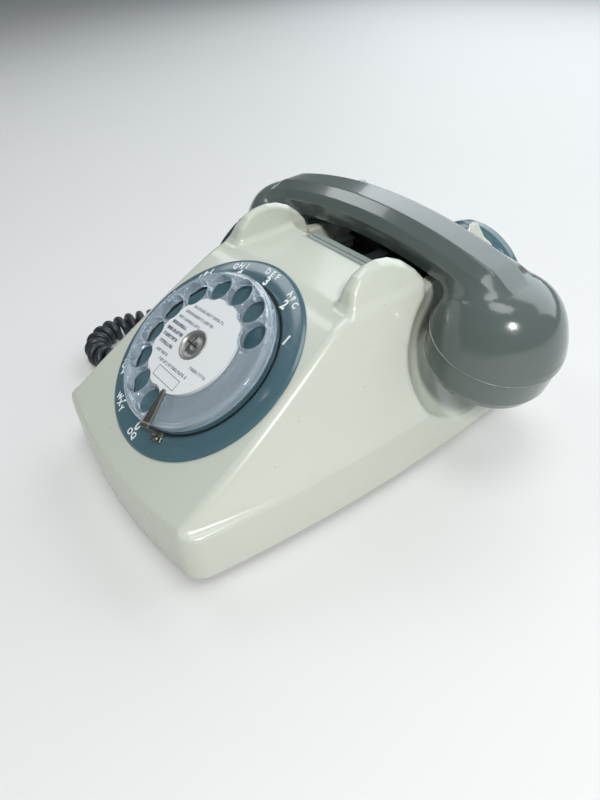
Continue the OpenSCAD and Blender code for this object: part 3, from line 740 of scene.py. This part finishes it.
def flat_text(name, items, height, body, ink, lift):
    """Upright characters standing on the dial plane: items are (character, x, y, size)."""
    verts, faces = [], []
    for ch, x, y, size in items:
        curve = bpy.data.curves.new("t", "FONT")
        curve.body = ch
        curve.size = size
        curve.align_x, curve.align_y = "CENTER", "CENTER"
        curve.extrude = height / 2
        curve.offset = STROKE_GROW * size
        o = bpy.data.objects.new("t", curve)
        bpy.context.scene.collection.objects.link(o)
        dg = bpy.context.evaluated_depsgraph_get()
        me = bpy.data.meshes.new_from_object(o.evaluated_get(dg))
        base = len(verts)
        for v in me.vertices:
            verts.append((v.co.x * NARROW + x, v.co.y + y, v.co.z + lift))
        faces += [tuple(base + i for i in p.vertices) for p in me.polygons]
        bpy.data.objects.remove(o)
        bpy.data.meshes.remove(me)
        bpy.data.curves.remove(curve)
    finish_piece(dial_piece(name, verts, faces), body, None, mat=ink)


DIGIT_R, LETTER_R = 46.4, 51.1               # where digits and letters stand on the ring
DIGIT_SIZE, LETTER_SIZE = 6.9, 4.5
LETTERS = ["", "ABC", "DEF", "GHI", "JKL", "MN", "PRS", "TUV", "WXY", "OQ"]
marks = []
for i in range(10):
    a = 38.3 + i * STEP
    low = math.sin(math.radians(a)) < 0
    marks.append((str((i + 1) % 10), DIGIT_R * math.cos(math.radians(a)), DIGIT_R * math.sin(math.radians(a)),
                  DIGIT_SIZE))
    word = LETTERS[i]
    for k, ch in enumerate(word):
        off = (k - (len(word) - 1) / 2) * 4.5 * (1 if low else -1)
        b = math.radians(a + off)
        marks.append((ch, LETTER_R * math.cos(b), LETTER_R * math.sin(b), LETTER_SIZE))
flat_text("dial_marks", marks, 0.05, "base", "label_ink", 1.62)

# printed lines on the card: plain bars in place of words, and an empty frame for a number
bars = []
rng = np.random.default_rng(4)
for y0, x0, x1, bold in ((16.2, -17, 8, 0), (12.2, -20, 3, 0), (8.2, -22, -4, 0), (4.4, -23.2, -11.5, 1),
                         (0.6, -23.6, -11, 1), (-3.0, -23.2, -11.2, 1), (-6.9, -22, -10.5, 1),
                         (-11.2, -19.5, -9.5, 0), (-9.4, 8.6, 20.5, 0), (-14.3, -13.5, 11.5, 0)):
    x = x0
    while x < x1:
        w = rng.uniform(0.85, 1.25)
        bars.append((x, y0, w, 1.75 if bold else 1.5, bold))
        x += w + (0.30 if bold else 0.42)
verts, faces = [], []


def ink_box(x, y, w, h, turn, lift=9.66, thick=0.04):
    c, s = math.cos(turn), math.sin(turn)
    base = len(verts)
    for dz in (0, thick):
        for dx, dy in ((0, -h / 2), (w, -h / 2), (w, h / 2), (0, h / 2)):
            px, py = x + dx, y + dy
            verts.append((px * c - py * s, px * s + py * c, lift + dz))
    for f in ((3, 2, 1, 0), (4, 5, 6, 7), (0, 1, 5, 4), (1, 2, 6, 5), (2, 3, 7, 6), (3, 0, 4, 7)):
        faces.append(tuple(base + i for i in f))


CARD_TURN = math.radians(4.0)
for x, y, w, h, bold in bars:
    k = rng.integers(0, 4)
    # each mark: an upright, a short cross bar and at times a second upright
    t = 0.5 if bold else 0.32
    ink_box(x, y, t, h, CARD_TURN)
    ink_box(x + t - 0.02, y + (h - t) / 2 * (1 if k % 2 else -1), w * 0.6, t, CARD_TURN)
    if k > 1:
        ink_box(x + w - t, y, t, h, CARD_TURN)
for x, y, w, h in ((-9.2, -17.0, 19.4, 0.28), (-9.2, -22.4, 19.4, 0.28), (-9.2, -19.7, 0.28, 5.4),
                   (9.92, -19.7, 0.28, 5.4)):
    ink_box(x, y, w, h, CARD_TURN * 0.5)
finish_piece(dial_piece("card_lines", verts, faces), "dial", None, mat="card_ink")

hub = lathe("hub_visual", [(8.1, 7.66), (8.1, 9.75), (7.85, 10.02), (7.5, 10.02), (7.2, 9.7), (6.9, 8.9), (5.2, 8.5),
                           (3.4, 8.45), (3.2, 8.62), (0.4, 8.62), (0.4, 7.66)], DIAL_M, 96)
finish_piece(hub, "dial", "hub_metal", ["hub_cap"])
verts, faces = [], []
# painted shade: flat black bars stand for the dark recess of the screw slot and the shadow it casts on the hub
ink_box(-6.6, 0, 8.8, 0.75, 0.0, lift=8.64, thick=0.05)
ink_box(-2.9, 0, 0.5, 9.6, 0.0, lift=8.64, thick=0.04)
finish_piece(dial_piece("hub_slot_painted_shade", verts, faces), "dial", None, mat="black_plastic")


def stop_f(x, y, z):
    """Finger stop: a foot on the ring, a short post and a tongue that narrows over the wheel."""
    foot = rmax(np.maximum(np.abs(x - 45.6) - 2.2, z - 2.8), rmax(np.abs(y) - 3.5, 1.6 - z, 0.2), 0.5)
    post = np.maximum(np.abs(x - 44.0) - 0.6,
                      np.maximum(np.abs(y) - 3.2 + 0.05 * (z - 2), np.abs(z - 6.9) - 5.3))
    width = np.interp(x, [24, 26, 33, 44.6], [0.4, 1.1, 2.0, 2.9])
    tongue = rmax(rmax(np.abs(y) - width, 25.0 - x, 0.8), np.maximum(np.abs(z - 11.75) - 0.6, x - 44.6), 0.35)
    rivet = rmax(np.hypot(x - 46.2, y) - 1.2, np.abs(z - 3.0) - 0.6, 0.4)
    return rmin(rmin(rmin(foot, post, 1.0), tongue, 1.2), rivet, 0.2)


stop_m = DIAL_M @ Matrix.Rotation(math.radians(-70), 4, "Z")
stop = implicit("finger_stop_visual", stop_f, (23.5, -4.6, 1.0), (50.5, 4.6, 13.2),
                0.28 if FINE else 0.5, stop_m)
finish_piece(stop, "base", "finger_stop_metal", ["finger_stop"])


# ---------------------------------------------------------------- hook bar
def hook_f(x, y, z):
    ax = np.abs(x)
    bar = rmax(rmax(ax - 26.6, np.abs(y - 27.2) - 4.6, 0.5), np.abs(z - 87.0) - 1.6, 0.6)
    bar = rmax(bar, -np.maximum(np.abs(y - 27.6) - 0.45, 87.6 - z), 0.25)
    bar = rmax(bar, -np.maximum(np.abs(y - 24.6) - 0.3, 88.0 - z), 0.15)
    stem = np.maximum(np.maximum(ax - 4, np.abs(y - 26.6) - 2), np.abs(z - 67) - 19)
    return rmin(bar, stem, 0.5)


def arm_f(x, y, z):
    return rmax(rmax(np.abs(np.abs(x) - 13) - 3, np.abs(y - 40.8) - 8.8, 0.8), np.abs(z - 86.6) - 1.0, 0.5)


# painted shade: a thin black sheet lining the channel floor behind the hook bar, standing in for the shadow under the
# handset
def shade_sheet_f(x, y, z):
    c = poly(y, z, CHANNEL, 0.0)
    strip = rmax(c + 0.15, -(c + 0.85), 0.15)
    return rmax(rmax(strip, np.abs(x) - 40.6, 0.15), z - 83.5, 0.15)


H_HOOK = 0.5 if FINE else 0.9
hook = implicit("hook_bar_visual", hook_f, (-28, 21, 47), (28, 33, 90), H_HOOK)
finish_piece(hook, "hook", "hook_plastic", ["hook_bar"])
# the arms are real parts of the hook; their black colour is painted shade, so they read as the shadow behind the bar
arms = implicit("hook_arms", arm_f, (-18, 31, 84), (18, 51, 89), H_HOOK)
finish_piece(arms, "hook", None, mat="black_plastic")
# the black sheet in the channel is painted shade
tray = implicit("cradle_painted_shade_sheet", shade_sheet_f, (-42, 33, 61), (42, 73, 85), 0.35 if FINE else 0.6)
finish_piece(tray, "base", "black_plastic", ["cradle_tray"])


# ---------------------------------------------------------------- second earpiece
EAR_M = Matrix.Translation(Vector(EAR_AT)) @ Matrix.Rotation(EAR_LEAN - math.pi / 2, 4, "X")


def ear_shell_f(x, y, z):
    r = np.hypot(x, y)
    out = poly(r, z, mirrored([(EAR_R, 10), (EAR_R, 7), (28.5, 3), (25, 0.6)]), 0.4)
    out = rmax(out, -np.maximum(r - 27.5, 3.6 - z), 0.3)
    return rmax(out, -(np.hypot(x, y + 12) - 4.4), 0.3)


def ear_cap_f(x, y, z):
    r = np.hypot(x, y)
    out = poly(r, z, mirrored([(25, 19.7), (29, 17), (EAR_R - 0.2, 13), (EAR_R - 0.2, 10.1)]), 0.5)
    out = np.minimum(out, np.maximum(np.maximum(r - 27.2, 8 - z), z - 12))
    out = rmax(out, -np.maximum(r - 24.5, z - 16.5), 0.3)
    dish = np.sqrt(r * r + (z - 66) ** 2) - 48.3
    out = rmax(out, -dish, 1.0)
    holes = np.minimum(r - 1.8, hole_ring(x, y, 8, 12, 1.5))
    return rmax(out, -holes, 0.3)


H_EAR = 0.6 if FINE else 1.1
o = implicit("earpiece_shell_visual", ear_shell_f, (-32, -32, -1), (32, 32, 11.5), H_EAR, EAR_M)
finish_piece(o, "earpiece", "blue_plastic", ["earpiece_shell"])
o = implicit("earpiece_cap_visual", ear_cap_f, (-32, -32, 6.5), (32, 32, 21), H_EAR, EAR_M)
finish_piece(o, "earpiece", "blue_plastic", ["earpiece_cap"])


# ---------------------------------------------------------------- floor and light
floor_mat = material("floor", (0.78, 0.78, 0.77), 0.6, 0.01, 4, 0.01, 300)
bpy.ops.mesh.primitive_plane_add(size=6, location=(0, 0, 0))
floor = bpy.context.object
floor.name = "floor"
floor.data.materials.append(floor_mat)

world = bpy.data.worlds.new("studio")
bpy.context.scene.world = world
world.use_nodes = True
world.node_tree.nodes["Background"].inputs[0].default_value = (0.80, 0.88, 0.95, 1)
world.node_tree.nodes["Background"].inputs[1].default_value = 0.17


def area(name, loc, target, size, power, color=(1, 1, 1)):
    d = bpy.data.lights.new(name, "AREA")
    d.shape = "ELLIPSE" if size[0] == size[1] else "RECTANGLE"
    d.size, d.size_y = size
    d.energy = power
    d.color = color
    o = bpy.data.objects.new(name, d)
    bpy.context.scene.collection.objects.link(o)
    o.location = loc
    o.rotation_euler = (Vector(target) - Vector(loc)).to_track_quat("-Z", "Y").to_euler()


area("key", (0.85, -0.30, 0.85), (0, 0, 0.05), (0.22, 0.22), 9.0, (1.0, 0.99, 0.96))
area("wall", (-0.15, 1.15, 0.75), (0, 0, 0.10), (2.2, 1.0), 15, (0.90, 0.95, 1.0))
area("overhead", (0.1, 0.1, 1.6), (0, 0, 0), (0.8, 0.8), 5.5, (0.97, 0.99, 1.0))
area("glint", (-0.95, -0.15, 0.95), (0, -0.06, 0.07), (0.45, 0.45), 2.0, (0.95, 0.98, 1.0))
bpy.context.scene.view_settings.view_transform = "Standard"
